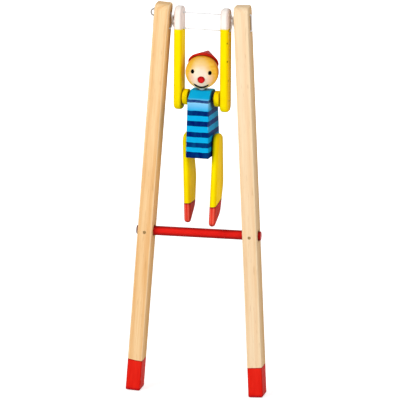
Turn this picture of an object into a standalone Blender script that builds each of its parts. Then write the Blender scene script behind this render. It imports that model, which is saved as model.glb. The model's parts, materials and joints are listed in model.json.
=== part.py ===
"""Wooden acrobat on a squeeze frame.

Two leaning uprights swing on a crossbar. A jointed figure hangs between their tops on one closed loop
of string, which crosses over itself on both sides of the figure. Metres, +Z up, origin on the floor
midway between the feet. The figure faces -Y.
"""
import math

import bmesh
import bpy
from mathutils import Matrix, Vector

MM = 0.001

# Fits shared by every piece
SEAT_GAP = 0.3 * MM
PRESS_CLEARANCE = 0.12 * MM
TURNING_CLEARANCE = 0.25 * MM
EDGE_ROUND = 0.7 * MM

# Uprights: flat bars that lean in towards their tops
UPRIGHT_LENGTH = 268.8 * MM
UPRIGHT_WIDTH = 10.0 * MM
UPRIGHT_DEPTH = 15.0 * MM
UPRIGHT_TOP_ROUND = 4.6 * MM
UPRIGHT_FOOT_ROUND = 1.0 * MM
UPRIGHT_EDGE_ROUND = 1.1 * MM
UPRIGHT_LEAN = math.radians(3.37)
UPRIGHT_TRAVEL = math.radians(2.5)

# The frame hangs loose on its nails and stands a little skewed to the right
FRAME_SKEW = math.radians(0.65)

# Crossbar and the nails that the uprights swing on
CROSSBAR_DIAMETER = 6.4 * MM
CROSSBAR_PROUD = 1.7 * MM
NAIL_DIAMETER = 1.6 * MM
NAIL_SUNK = 0.2 * MM
NAIL_LENGTH = 12.0 * MM

# String and its holes
STRING_DIAMETER = 1.2 * MM
STRING_HOLE_DIAMETER = 2.2 * MM
STRING_HOLE_SPACING = 10.9 * MM
STRING_HOLE_FROM_TOP = 6.4 * MM
STRING_TUCK = 1.2 * MM
CROSSING_OFFSET = 1.35 * MM
KNOT_WIDTH = 3.4 * MM
KNOT_HEIGHT = 5.0 * MM

# The figure hangs turned a little about the vertical, its body a little to the right on the shoulder pin
FIGURE_TURN = math.radians(-5.0)
BODY_SIDE_PLAY = 0.25 * MM

# Room for the figure to turn over between the uprights and above the crossbar
HAND_GAP = 3.54 * MM
TOE_CLEARANCE = 0.5 * MM

# Arms: flat strips that end in hands
ARM_THICKNESS = 5.6 * MM
ARM_DEPTH = 11.0 * MM
ARM_SPACING = 32.3 * MM
ARM_ABOVE_AXIS = 9.85 * MM
ARM_BELOW_SHOULDER = 8.7 * MM
ARM_END_ROUND = 4.8 * MM
ARM_EDGE_ROUND = 1.6 * MM
SHOULDER_DROP = 52.3 * MM
SHOULDER_PIN_DIAMETER = 3.0 * MM
SHOULDER_PIN_GRIP = 3.3 * MM
SPACER_DIAMETER = 10.8 * MM
SPACER_ROOM = 1.35 * MM

# Torso: a block with a sloped chest that grows towards the hips
TORSO_TOP_WIDTH = 14.8 * MM
TORSO_HIP_WIDTH = 15.9 * MM
TORSO_TOP_DEPTH = 8.0 * MM
TORSO_CHEST_DEPTH = 22.4 * MM
TORSO_HIP_FRONT = 12.8 * MM
TORSO_HIP_BACK = 15.6 * MM
TORSO_ABOVE_SHOULDER = 6.0 * MM
TORSO_BELOW_HIP = 7.5 * MM
TORSO_CORNER_ROUND = 1.5 * MM
CHEST_SLOPE_HEIGHT = 5.5 * MM
HIP_DROP = 31.85 * MM
HIP_BACK = 1.2 * MM

# Head, cap and nose. The cap's tip leans to one side
HEAD_DIAMETER = 22.2 * MM
HEAD_FORWARD = 1.5 * MM
NECK_GAP = 1.3 * MM
NECK_PEG_DIAMETER = 3.6 * MM
NECK_PEG_IN_TORSO = 3.4 * MM
NECK_PEG_IN_HEAD = 6.0 * MM
CAP_TILT = math.radians(48.0)
CAP_RIM_DIAMETER = 20.6 * MM
CAP_RIM_OFFSET = 7.25 * MM
CAP_RIM_THICKNESS = 0.9 * MM
CAP_HEIGHT = 10.65 * MM
CAP_TURN = math.radians(8.5)
CAP_TIP_ROUND = 1.0 * MM
CAP_TIP_SHIFT = 2.2 * MM
NOSE_DIAMETER = 5.0 * MM
NOSE_SUNK = 2.7 * MM
FACE_TURN = math.radians(13.0)
FACE_DROP = math.radians(18.5)

# Legs: flat strips with a full calf that end in pointed shoes
LEG_THICKNESS = 4.4 * MM
LEG_TOP_DEPTH = 12.4 * MM
LEG_TOP_RISE = 7.6 * MM
LEG_TOP_ROUND = 5.4 * MM
LEG_EDGE_ROUND = 1.9 * MM
LEG_SIDE_GAP = 0.3 * MM
CALF_BACK = 10.8 * MM
CALF_DROP = 27.0 * MM
CALF_ROUND = 16.0 * MM
HEEL_BACK = 5.0 * MM
HEEL_DROP = 47.0 * MM
HEEL_ROUND = 9.0 * MM
TOE_FORWARD = 10.9 * MM
TOE_DROP = 56.8 * MM
TOE_ROUND = 2.4 * MM
HIP_PIN_DIAMETER = 2.5 * MM
HIP_PIN_GRIP = 3.0 * MM
LEFT_LEG_SWING = math.radians(9.5)
RIGHT_LEG_SWING = math.radians(-4.2)

# How finely round shapes are divided
ARC_STEPS = 6
HOLE_SIDES = 20
ROD_SIDES = 24
BALL_SEGMENTS = 36
BALL_RINGS = 22
ROUTE_STEPS = 5

# Places that follow from the sizes above
LEFT_LEAN = UPRIGHT_LEAN + FRAME_SKEW
RIGHT_LEAN = UPRIGHT_LEAN - FRAME_SKEW
FLAT_HALF_WIDTH = UPRIGHT_WIDTH / 2 - UPRIGHT_EDGE_ROUND
FIGURE_REACH = SHOULDER_DROP + HIP_DROP + math.hypot(TOE_FORWARD, TOE_DROP)
TRAPEZE_RISE = FIGURE_REACH + TOE_CLEARANCE + CROSSBAR_DIAMETER / 2
TRAPEZE_REACH = TRAPEZE_RISE / math.cos(UPRIGHT_LEAN)
UPPER_HOLE = TRAPEZE_REACH + STRING_HOLE_SPACING / 2
LOWER_HOLE = TRAPEZE_REACH - STRING_HOLE_SPACING / 2
UPRIGHT_ABOVE_PIVOT = UPPER_HOLE + STRING_HOLE_FROM_TOP
PIVOT_FROM_FOOT = UPRIGHT_LENGTH - UPRIGHT_ABOVE_PIVOT
PIVOT_HEIGHT = PIVOT_FROM_FOOT * math.cos(UPRIGHT_LEAN) + FLAT_HALF_WIDTH * math.sin(UPRIGHT_LEAN)
HAND_REACH = ARM_SPACING / 2 + ARM_THICKNESS / 2
LEAN_ROOM = TRAPEZE_REACH * (math.sin(LEFT_LEAN) + math.sin(RIGHT_LEAN)) / 2
PIVOT_SPACING = 2 * (HAND_REACH + HAND_GAP + UPRIGHT_WIDTH / 2 + LEAN_ROOM)
CROSSBAR_SHIFT = PIVOT_FROM_FOOT * (math.sin(LEFT_LEAN) - math.sin(RIGHT_LEAN)) / 2
TRAPEZE_HEIGHT = PIVOT_HEIGHT + TRAPEZE_RISE
TRAPEZE_SHIFT = CROSSBAR_SHIFT + TRAPEZE_REACH * (math.sin(LEFT_LEAN) - math.sin(RIGHT_LEAN)) / 2
STRING_STANDOFF = STRING_DIAMETER / 2 + SEAT_GAP
ARM_INNER = ARM_SPACING / 2 - ARM_THICKNESS / 2
TORSO_HEIGHT = TORSO_ABOVE_SHOULDER + HIP_DROP + TORSO_BELOW_HIP
TORSO_GROWTH = (TORSO_HIP_WIDTH - TORSO_TOP_WIDTH) * TORSO_ABOVE_SHOULDER / TORSO_HEIGHT
SPACER_INNER = (TORSO_TOP_WIDTH + TORSO_GROWTH) / 2 + BODY_SIDE_PLAY + SPACER_ROOM
LEG_CENTRE = TORSO_HIP_WIDTH / 2 + LEG_SIDE_GAP + LEG_THICKNESS / 2
HEAD_RADIUS = HEAD_DIAMETER / 2
HEAD_ABOVE_SHOULDER = TORSO_ABOVE_SHOULDER + NECK_GAP + HEAD_RADIUS

COLOURS = {
    "wood": ((0.85, 0.62, 0.36), 0.45),
    "red": ((0.72, 0.02, 0.015), 0.3),
    "yellow": ((0.98, 0.74, 0.01), 0.3),
    "blue": ((0.03, 0.4, 0.8), 0.3),
    "skin": ((0.9, 0.62, 0.3), 0.35),
    "steel": ((0.6, 0.58, 0.55), 0.35),
    "string": ((0.9, 0.89, 0.86), 0.85),
}


def clear_scene():
    """Empties the scene."""
    for item in list(bpy.data.objects):
        bpy.data.objects.remove(item, do_unlink=True)


def new_collection(name):
    """A collection linked to the scene."""
    collection = bpy.data.collections.new(name)
    bpy.context.scene.collection.children.link(collection)
    return collection


def make_material(name, colour, roughness):
    """A plain Principled material."""
    material = bpy.data.materials.new(name)
    material.use_nodes = True
    shader = material.node_tree.nodes["Principled BSDF"]
    shader.inputs["Base Color"].default_value = (*colour, 1.0)
    shader.inputs["Roughness"].default_value = roughness
    shader.inputs["Metallic"].default_value = 1.0 if name == "steel" else 0.0
    return material


clear_scene()
PARTS = new_collection("wooden_acrobat")
CUTTERS = new_collection("wooden_acrobat_cutters")
MATERIALS = {name: make_material(name, *values) for name, values in COLOURS.items()}


def add_part(name, data, finish, parent=None, location=(0, 0, 0), rotation=(0, 0, 0)):
    """Puts a mesh or curve into the scene as one named piece."""
    part = bpy.data.objects.new(name, data)
    data.materials.clear()
    data.materials.append(MATERIALS[finish])
    part.parent = parent
    part.location = location
    part.rotation_euler = rotation
    PARTS.objects.link(part)
    return part


def add_empty(name, parent=None, location=(0, 0, 0), rotation=(0, 0, 0)):
    """A named axis that pieces hang from."""
    empty = bpy.data.objects.new(name, None)
    empty.empty_display_size = 10 * MM
    empty.parent = parent
    empty.location = location
    empty.rotation_euler = rotation
    PARTS.objects.link(empty)
    return empty


def finish_mesh(name, builder):
    """Writes a bmesh to a new, smoothly shaded mesh."""
    bmesh.ops.recalc_face_normals(builder, faces=builder.faces)
    mesh = bpy.data.meshes.new(name)
    builder.to_mesh(mesh)
    builder.free()
    mesh.shade_smooth()
    mesh.set_sharp_from_angle(angle=math.radians(35))
    return mesh


def rod_mesh(name, start, end, radius, sides=ROD_SIDES):
    """A closed cylinder between two points."""
    start = Vector(start)
    end = Vector(end)
    along = end - start
    turn = along.to_track_quat("Z", "Y").to_matrix().to_4x4()
    builder = bmesh.new()
    bmesh.ops.create_cone(
        builder,
        cap_ends=True,
        segments=sides,
        radius1=radius,
        radius2=radius,
        depth=along.length,
        matrix=Matrix.Translation((start + end) / 2) @ turn,
    )
    return finish_mesh(name, builder)


def ball_mesh(name, centre, radius, scale=(1, 1, 1), segments=BALL_SEGMENTS, rings=BALL_RINGS):
    """A closed ball, which scale can stretch."""
    builder = bmesh.new()
    place = Matrix.Translation(centre) @ Matrix.Diagonal((*scale, 1))
    bmesh.ops.create_uvsphere(builder, u_segments=segments, v_segments=rings, radius=radius, matrix=place)
    return finish_mesh(name, builder)


def cut(part, cutter_mesh, operation="DIFFERENCE"):
    """Cuts a shape, given in the part's own frame, out of the part, or joins it on."""
    cutter = bpy.data.objects.new(cutter_mesh.name, cutter_mesh)
    cutter.parent = part
    cutter.hide_render = True
    cutter.display_type = "WIRE"
    CUTTERS.objects.link(cutter)
    boolean = part.modifiers.new(cutter_mesh.name, "BOOLEAN")
    boolean.operation = operation
    boolean.solver = "EXACT"
    boolean.object = cutter


def drill(part, start, end, radius, sides=HOLE_SIDES):
    """Drills a round hole between two points in the part's own frame."""
    cut(part, rod_mesh(part.name + "_hole", start, end, radius, sides))


def round_corners(corners):
    """Turns (y, z, radius) corners into an outline whose corners are arcs."""
    points = []
    count = len(corners)
    for index, (y, z, radius) in enumerate(corners):
        corner = Vector((y, z))
        before = (Vector(corners[index - 1][:2]) - corner).normalized()
        after = (Vector(corners[(index + 1) % count][:2]) - corner).normalized()
        half_angle = before.angle(after) / 2
        centre = corner + (before + after).normalized() * (radius / math.sin(half_angle))
        reach = radius / math.tan(half_angle)
        first = corner + before * reach - centre
        sweep = first.angle_signed(corner + after * reach - centre)
        for step in range(ARC_STEPS + 1):
            turn = Matrix.Rotation(-sweep * step / ARC_STEPS, 2)
            points.append(centre + turn @ first)
    return points


def mesh_from_curve(curve):
    """The closed mesh of a curve, with its caps welded on."""
    holder = bpy.data.objects.new(curve.name, curve)
    PARTS.objects.link(holder)
    graph = bpy.context.evaluated_depsgraph_get()
    mesh = bpy.data.meshes.new_from_object(holder.evaluated_get(graph))
    bpy.data.objects.remove(holder, do_unlink=True)
    builder = bmesh.new()
    builder.from_mesh(mesh)
    bmesh.ops.remove_doubles(builder, verts=builder.verts, dist=0.001 * MM)
    flat = math.radians(0.5)
    bmesh.ops.dissolve_limit(builder, angle_limit=flat, verts=builder.verts, edges=builder.edges)
    return builder


def plate_mesh(name, corners, thickness):
    """A board of the given thickness along X, cut to a side outline of (y, z, radius) corners."""
    curve = bpy.data.curves.new(name, "CURVE")
    curve.dimensions = "2D"
    curve.fill_mode = "BOTH"
    curve.extrude = thickness / 2
    outline = round_corners(corners)
    spline = curve.splines.new("POLY")
    spline.points.add(len(outline) - 1)
    for point, place in zip(spline.points, outline):
        point.co = (place.x, place.y, 0, 1)
    spline.use_cyclic_u = True
    builder = mesh_from_curve(curve)
    stand_up = Matrix(((0, 0, 1), (1, 0, 0), (0, 1, 0)))
    bmesh.ops.transform(builder, matrix=stand_up.to_4x4(), verts=builder.verts)
    return finish_mesh(name, builder)


def soften_edges(part, radius=EDGE_ROUND):
    """Rounds the sharp edges of a cut board."""
    bevel = part.modifiers.new("soft_edges", "BEVEL")
    bevel.width = radius
    bevel.segments = 3
    bevel.limit_method = "ANGLE"
    bevel.angle_limit = math.radians(50)


def smooth_route(points):
    """Points along a smooth curve that passes through every given point."""
    points = [Vector(point) for point in points]
    padded = [2 * points[0] - points[1]] + points + [2 * points[-1] - points[-2]]
    route = []
    for index in range(1, len(padded) - 2):
        before, start, end, after = padded[index - 1:index + 3]
        for step in range(ROUTE_STEPS):
            t = step / ROUTE_STEPS
            even = 2 * start + (2 * before - 5 * start + 4 * end - after) * t * t
            odd = (end - before) * t + (3 * start - before - 3 * end + after) * t ** 3
            route.append((even + odd) / 2)
    return route + [points[-1]]


def string_curve(name, route):
    """A string along the given route."""
    curve = bpy.data.curves.new(name, "CURVE")
    curve.dimensions = "3D"
    curve.bevel_depth = STRING_DIAMETER / 2
    curve.bevel_resolution = 2
    curve.use_fill_caps = True
    spline = curve.splines.new("POLY")
    spline.points.add(len(route) - 1)
    for point, place in zip(spline.points, route):
        point.co = (*place, 1)
    return curve


def build_upright(name, side):
    """One bar with its origin on its nail. Side is -1 on the left and 1 on the right."""
    half_depth = UPRIGHT_DEPTH / 2
    corners = [
        (-half_depth, UPRIGHT_ABOVE_PIVOT, UPRIGHT_TOP_ROUND),
        (-half_depth, -PIVOT_FROM_FOOT, UPRIGHT_FOOT_ROUND),
        (half_depth, -PIVOT_FROM_FOOT, UPRIGHT_FOOT_ROUND),
        (half_depth, UPRIGHT_ABOVE_PIVOT, UPRIGHT_TOP_ROUND),
    ]
    mesh = plate_mesh(name, corners, UPRIGHT_WIDTH)
    place = (CROSSBAR_SHIFT + side * PIVOT_SPACING / 2, 0, PIVOT_HEIGHT)
    lean = LEFT_LEAN if side < 0 else -RIGHT_LEAN
    upright = add_part(name, mesh, "wood", location=place, rotation=(0, lean, 0))
    soften_edges(upright, UPRIGHT_EDGE_ROUND)
    for height in (UPPER_HOLE, LOWER_HOLE):
        drill(upright, (-UPRIGHT_WIDTH, 0, height), (UPRIGHT_WIDTH, 0, height), STRING_HOLE_DIAMETER / 2)
    swing_room = UPRIGHT_WIDTH / 2 * math.tan(UPRIGHT_TRAVEL)
    bore = CROSSBAR_DIAMETER / 2 + swing_room + TURNING_CLEARANCE
    level = Vector((math.cos(lean), 0, math.sin(lean))) * UPRIGHT_WIDTH
    drill(upright, -level, level, bore, ROD_SIDES)
    nail_end = NAIL_SUNK + NAIL_LENGTH - half_depth + SEAT_GAP
    drill(upright, (0, -UPRIGHT_DEPTH, 0), (0, nail_end, 0), NAIL_DIAMETER / 2 + TURNING_CLEARANCE)
    return upright


def build_crossbar():
    """The dowel through both uprights, with its two nails."""
    half_length = PIVOT_SPACING / 2 + UPRIGHT_WIDTH / 2 / math.cos(LEFT_LEAN) + CROSSBAR_PROUD
    mesh = rod_mesh("crossbar", (-half_length, 0, 0), (half_length, 0, 0), CROSSBAR_DIAMETER / 2)
    crossbar = add_part("crossbar", mesh, "red", location=(CROSSBAR_SHIFT, 0, PIVOT_HEIGHT))
    soften_edges(crossbar)
    front = -UPRIGHT_DEPTH / 2 + NAIL_SUNK
    for name, side in (("left_pivot_pin", -1), ("right_pivot_pin", 1)):
        across = side * PIVOT_SPACING / 2
        shank = rod_mesh(name, (0, front, 0), (0, front + NAIL_LENGTH, 0), NAIL_DIAMETER / 2, HOLE_SIDES)
        add_part(name, shank, "steel", parent=crossbar, location=(across, 0, 0))
        drill(crossbar, (across, -CROSSBAR_DIAMETER, 0), (across, CROSSBAR_DIAMETER, 0),
              NAIL_DIAMETER / 2 + PRESS_CLEARANCE)


def build_arm(name, side, trapeze):
    """One arm with its origin on the trapeze axis. The string runs through the hand."""
    half_depth = ARM_DEPTH / 2
    bottom = -SHOULDER_DROP - ARM_BELOW_SHOULDER
    corners = [
        (-half_depth, ARM_ABOVE_AXIS, ARM_END_ROUND),
        (-half_depth, bottom, ARM_END_ROUND),
        (half_depth, bottom, ARM_END_ROUND),
        (half_depth, ARM_ABOVE_AXIS, ARM_END_ROUND),
    ]
    mesh = plate_mesh(name, corners, ARM_THICKNESS)
    arm = add_part(name, mesh, "yellow", parent=trapeze, location=(side * ARM_SPACING / 2, 0, 0))
    soften_edges(arm, ARM_EDGE_ROUND)
    for height in (STRING_HOLE_SPACING / 2, -STRING_HOLE_SPACING / 2):
        drill(arm, (-ARM_THICKNESS, 0, height), (ARM_THICKNESS, 0, height), STRING_HOLE_DIAMETER / 2)
    hole_floor = side * (-ARM_THICKNESS / 2 + SHOULDER_PIN_GRIP + SEAT_GAP)
    drill(arm, (-side * ARM_THICKNESS, 0, -SHOULDER_DROP), (hole_floor, 0, -SHOULDER_DROP),
          SHOULDER_PIN_DIAMETER / 2 + PRESS_CLEARANCE)


def build_shoulders(trapeze):
    """The rod through the torso and a disc on each side of it."""
    reach = ARM_INNER + SHOULDER_PIN_GRIP
    pin = rod_mesh("shoulder_pin", (-reach, 0, 0), (reach, 0, 0), SHOULDER_PIN_DIAMETER / 2)
    shoulder = add_part("shoulder_pin", pin, "steel", parent=trapeze, location=(0, 0, -SHOULDER_DROP))
    far = ARM_INNER - SEAT_GAP
    for name, side in (("left_shoulder_spacer", -1), ("right_shoulder_spacer", 1)):
        inner_end = (side * SPACER_INNER, 0, 0)
        outer_end = (side * far, 0, 0)
        disc = rod_mesh(name, inner_end, outer_end, SPACER_DIAMETER / 2, BALL_SEGMENTS)
        spacer = add_part(name, disc, "yellow", parent=shoulder)
        soften_edges(spacer)
        drill(spacer, (0, 0, 0), (side * ARM_SPACING, 0, 0), SHOULDER_PIN_DIAMETER / 2 + PRESS_CLEARANCE)


def build_torso(body):
    """The block between the arms, with its origin on the shoulder pin."""
    top = TORSO_ABOVE_SHOULDER
    chest = top - CHEST_SLOPE_HEIGHT
    bottom = top - TORSO_HEIGHT
    half_top = TORSO_TOP_DEPTH / 2
    half_chest = TORSO_CHEST_DEPTH / 2
    corners = [
        (-half_top, top, TORSO_CORNER_ROUND),
        (-half_chest, chest, TORSO_CORNER_ROUND),
        (-TORSO_HIP_FRONT, bottom, TORSO_CORNER_ROUND),
        (TORSO_HIP_BACK, bottom, TORSO_CORNER_ROUND),
        (half_chest, chest, TORSO_CORNER_ROUND),
        (half_top, top, TORSO_CORNER_ROUND),
    ]
    mesh = plate_mesh("torso", corners, TORSO_HIP_WIDTH)
    narrowing = 1 - TORSO_TOP_WIDTH / TORSO_HIP_WIDTH
    for vertex in mesh.vertices:
        vertex.co.x *= 1 - narrowing * (vertex.co.z - bottom) / TORSO_HEIGHT
    torso = add_part("torso", mesh, "blue", parent=body)
    soften_edges(torso)
    side = TORSO_HIP_WIDTH
    drill(torso, (-side, 0, 0), (side, 0, 0), SHOULDER_PIN_DIAMETER / 2 + TURNING_CLEARANCE)
    hip_hole = HIP_PIN_DIAMETER / 2 + PRESS_CLEARANCE
    drill(torso, (-side, HIP_BACK, -HIP_DROP), (side, HIP_BACK, -HIP_DROP), hip_hole)
    peg_hole = NECK_PEG_DIAMETER / 2 + PRESS_CLEARANCE
    peg_floor = top - NECK_PEG_IN_TORSO - SEAT_GAP
    drill(torso, (0, -HEAD_FORWARD, peg_floor), (0, -HEAD_FORWARD, 2 * top), peg_hole)


def build_head(body):
    """The ball on its peg, with the cap on its back and the nose let into its front."""
    head_seat = add_empty("head_seat", body, (0, -HEAD_FORWARD, HEAD_ABOVE_SHOULDER))
    head = add_part("head", ball_mesh("head", (0, 0, 0), HEAD_RADIUS), "skin", parent=head_seat)
    peg_top = -HEAD_RADIUS + NECK_PEG_IN_HEAD
    peg_bottom = -HEAD_RADIUS - NECK_GAP - NECK_PEG_IN_TORSO
    peg = rod_mesh("neck_peg", (0, 0, peg_bottom), (0, 0, peg_top), NECK_PEG_DIAMETER / 2)
    add_part("neck_peg", peg, "wood", parent=head_seat)
    peg_hole = NECK_PEG_DIAMETER / 2 + PRESS_CLEARANCE
    drill(head, (0, 0, -2 * HEAD_RADIUS), (0, 0, peg_top + SEAT_GAP), peg_hole)

    forward = math.cos(FACE_DROP)
    face = Vector((math.sin(FACE_TURN) * forward, -math.cos(FACE_TURN) * forward, -math.sin(FACE_DROP)))
    nose_centre = face * (HEAD_RADIUS + NOSE_DIAMETER / 2 - NOSE_SUNK)
    nose = ball_mesh("nose", (0, 0, 0), NOSE_DIAMETER / 2, segments=HOLE_SIDES, rings=HOLE_SIDES // 2)
    add_part("nose", nose, "red", parent=head_seat, location=nose_centre)
    socket_radius = NOSE_DIAMETER / 2 + SEAT_GAP
    cut(head, ball_mesh("nose_socket", nose_centre, socket_radius, segments=ROD_SIDES, rings=HOLE_SIDES))

    cap = add_part("cap", cap_mesh(), "red", parent=head_seat, rotation=(-CAP_TILT, 0, CAP_TURN))
    cut(cap, ball_mesh("cap_seat", (0, 0, 0), HEAD_RADIUS + SEAT_GAP))


def cap_mesh():
    """A cone on a short rim, turned about Z, then leant over from the rim to the tip."""
    rim = CAP_RIM_DIAMETER / 2
    rim_top = CAP_RIM_OFFSET + CAP_RIM_THICKNESS
    tip_height = CAP_RIM_OFFSET + CAP_HEIGHT
    slope = math.atan2(rim, tip_height - rim_top)
    tip_centre = tip_height - CAP_TIP_ROUND
    points = []
    for step in range(ARC_STEPS + 1):
        angle = (math.pi / 2 - slope) * step / ARC_STEPS
        points.append((CAP_TIP_ROUND * math.sin(angle), tip_centre + CAP_TIP_ROUND * math.cos(angle)))
    points.append((rim, rim_top))
    points.append((rim, CAP_RIM_OFFSET))
    points.append((0, CAP_RIM_OFFSET))
    builder = bmesh.new()
    corners = [builder.verts.new((radius, 0, height)) for radius, height in points]
    edges = [builder.edges.new(pair) for pair in zip(corners, corners[1:])]
    bmesh.ops.spin(builder, geom=corners + edges, axis=(0, 0, 1), angle=math.tau, steps=BALL_SEGMENTS)
    bmesh.ops.remove_doubles(builder, verts=builder.verts, dist=0.001 * MM)
    for vertex in builder.verts:
        rise = max(0, vertex.co.z - rim_top) / (tip_height - rim_top)
        vertex.co.x += CAP_TIP_SHIFT * rise
    return finish_mesh("cap", builder)


def build_leg(name, side, swing, hip):
    """One leg with its origin on the hip pin."""
    half_top = LEG_TOP_DEPTH / 2
    corners = [
        (-half_top, LEG_TOP_RISE, LEG_TOP_ROUND),
        (-TOE_FORWARD, -TOE_DROP, TOE_ROUND),
        (HEEL_BACK, -HEEL_DROP, HEEL_ROUND),
        (CALF_BACK, -CALF_DROP, CALF_ROUND),
        (half_top, LEG_TOP_RISE, LEG_TOP_ROUND),
    ]
    mesh = plate_mesh(name, corners, LEG_THICKNESS)
    place = (side * LEG_CENTRE, 0, 0)
    leg = add_part(name, mesh, "yellow", parent=hip, location=place, rotation=(swing, 0, 0))
    soften_edges(leg, LEG_EDGE_ROUND)
    hole_floor = side * (-LEG_THICKNESS / 2 + HIP_PIN_GRIP + SEAT_GAP)
    drill(leg, (-side * LEG_THICKNESS, 0, 0), (hole_floor, 0, 0), HIP_PIN_DIAMETER / 2 + TURNING_CLEARANCE)


def build_figure():
    """The acrobat, hung from the middle of its hands."""
    place = (TRAPEZE_SHIFT, 0, TRAPEZE_HEIGHT)
    trapeze = add_empty("trapeze_axis", location=place, rotation=(0, 0, FIGURE_TURN))
    body = add_empty("shoulder_axis", trapeze, (BODY_SIDE_PLAY, 0, -SHOULDER_DROP))
    hip = add_empty("hip_axis", body, (0, HIP_BACK, -HIP_DROP))
    build_arm("left_arm", -1, trapeze)
    build_arm("right_arm", 1, trapeze)
    build_shoulders(trapeze)
    build_torso(body)
    build_head(body)
    reach = LEG_CENTRE - LEG_THICKNESS / 2 + HIP_PIN_GRIP
    pin = rod_mesh("hip_pin", (-reach, 0, 0), (reach, 0, 0), HIP_PIN_DIAMETER / 2)
    add_part("hip_pin", pin, "steel", parent=hip)
    build_leg("left_leg", -1, LEFT_LEG_SWING, hip)
    build_leg("right_leg", 1, RIGHT_LEG_SWING, hip)
    return trapeze


def build_outer_loops(uprights):
    """The string round the outside of each upright, and the knot on the left one."""
    face = UPRIGHT_WIDTH / 2
    for word, side, upright in (("left", -1, uprights[0]), ("right", 1, uprights[1])):
        name = f"{word}_string_loop"
        upper_bend = outer_bend(side, UPPER_HOLE, -1)
        lower_bend = outer_bend(side, LOWER_HOLE, 1)
        curve = string_curve(name, upper_bend + lower_bend[::-1])
        if side > 0:
            add_part(name, curve, "string", parent=upright)
            continue
        loop = add_part(name, finish_mesh(name, mesh_from_curve(curve)), "string", parent=upright)
        stretch = (1, 1, KNOT_HEIGHT / KNOT_WIDTH)
        place = (side * (face + SEAT_GAP + KNOT_WIDTH / 2), 0, UPPER_HOLE - STRING_STANDOFF)
        knot = ball_mesh("string_knot", place, KNOT_WIDTH / 2, stretch, ROD_SIDES, ROD_SIDES // 2)
        cut(loop, knot, "UNION")


def outer_bend(side, height, down):
    """The string's way out of one hole and round on to the outer face."""
    face = UPRIGHT_WIDTH / 2
    bend = [Vector((side * (face - STRING_TUCK), 0, height))]
    for step in range(ARC_STEPS + 1):
        angle = math.pi / 2 * step / ARC_STEPS
        out = face + STRING_STANDOFF * math.sin(angle)
        bend.append(Vector((side * out, 0, height + down * STRING_STANDOFF * (1 - math.cos(angle)))))
    return bend


def build_crossing_strings(uprights, trapeze):
    """The two strands that cross between each upright and the hand beside it."""
    bpy.context.view_layer.update()
    half = STRING_HOLE_SPACING / 2
    for word, side, upright in (("left", -1, uprights[0]), ("right", 1, uprights[1])):
        add_crossing(f"{word}_string_falling", side, -1, UPPER_HOLE, -half, upright, trapeze)
        add_crossing(f"{word}_string_rising", side, 1, LOWER_HOLE, half, upright, trapeze)


def add_crossing(name, side, rise, start, end, upright, trapeze):
    """One strand, from inside the upright's hole at height start to inside the hand's hole at height end."""
    inner_face = -side * UPRIGHT_WIDTH / 2
    tuck = side * (UPRIGHT_WIDTH / 2 - STRING_TUCK - SEAT_GAP)
    hand_face = side * HAND_REACH
    beside = rise * CROSSING_OFFSET
    out_of_upright = [
        (tuck, 0, start),
        ((tuck + inner_face) / 2, 0, start),
        (inner_face, 0, start),
        (inner_face - side * STRING_STANDOFF, beside / 2, start + rise * STRING_STANDOFF),
    ]
    into_hand = [
        (hand_face + side * STRING_STANDOFF, beside / 2, end - rise * STRING_STANDOFF),
        (hand_face, 0, end),
        (side * (ARM_SPACING / 2 + SEAT_GAP / 2), 0, end),
    ]
    first = [upright.matrix_world @ Vector(point) for point in out_of_upright]
    last = [trapeze.matrix_world @ Vector(point) for point in into_hand]
    middle = (first[-1] + last[0]) / 2 + Vector((0, beside / 2, 0))
    add_part(name, string_curve(name, smooth_route(first + [middle] + last)), "string")


def build_spans(trapeze):
    """The two straight stretches of string between the hands."""
    reach = ARM_SPACING / 2 - SEAT_GAP / 2
    half = STRING_HOLE_SPACING / 2
    for name, height in (("upper_string_span", half), ("lower_string_span", -half)):
        ends = [Vector((-reach, 0, height)), Vector((reach, 0, height))]
        add_part(name, string_curve(name, ends), "string", parent=trapeze)


def main():
    """Builds the whole toy."""
    uprights = (build_upright("left_upright", -1), build_upright("right_upright", 1))
    build_crossbar()
    trapeze = build_figure()
    build_outer_loops(uprights)
    build_crossing_strings(uprights, trapeze)
    build_spans(trapeze)


main()
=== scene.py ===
"""Looks of the wooden acrobat toy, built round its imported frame.

The wooden pieces are the frame's own nodes with lacquered and painted finishes. The head, cap and nose are
turned again more finely, the string becomes twisted cord with its knot, and the face is painted on.
The ball's radius is 0.15 mm larger than the solid's and it sits 0.4 mm lower, which fits the photograph.
Metres, +Z up. The figure faces -Y.
"""
import json
import math

import bmesh
import bpy
from mathutils import Matrix, Vector


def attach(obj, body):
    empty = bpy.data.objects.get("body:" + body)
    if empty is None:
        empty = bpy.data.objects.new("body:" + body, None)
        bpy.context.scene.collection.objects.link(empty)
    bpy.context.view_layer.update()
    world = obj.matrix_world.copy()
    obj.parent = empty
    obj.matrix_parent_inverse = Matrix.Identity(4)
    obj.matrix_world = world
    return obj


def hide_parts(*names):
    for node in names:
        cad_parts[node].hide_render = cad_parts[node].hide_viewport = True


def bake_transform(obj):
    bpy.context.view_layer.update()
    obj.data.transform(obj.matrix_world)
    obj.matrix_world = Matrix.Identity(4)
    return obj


MM = 0.001
FULL_TURN = 2 * math.pi
SHARP_ANGLE = math.radians(50)

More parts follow.
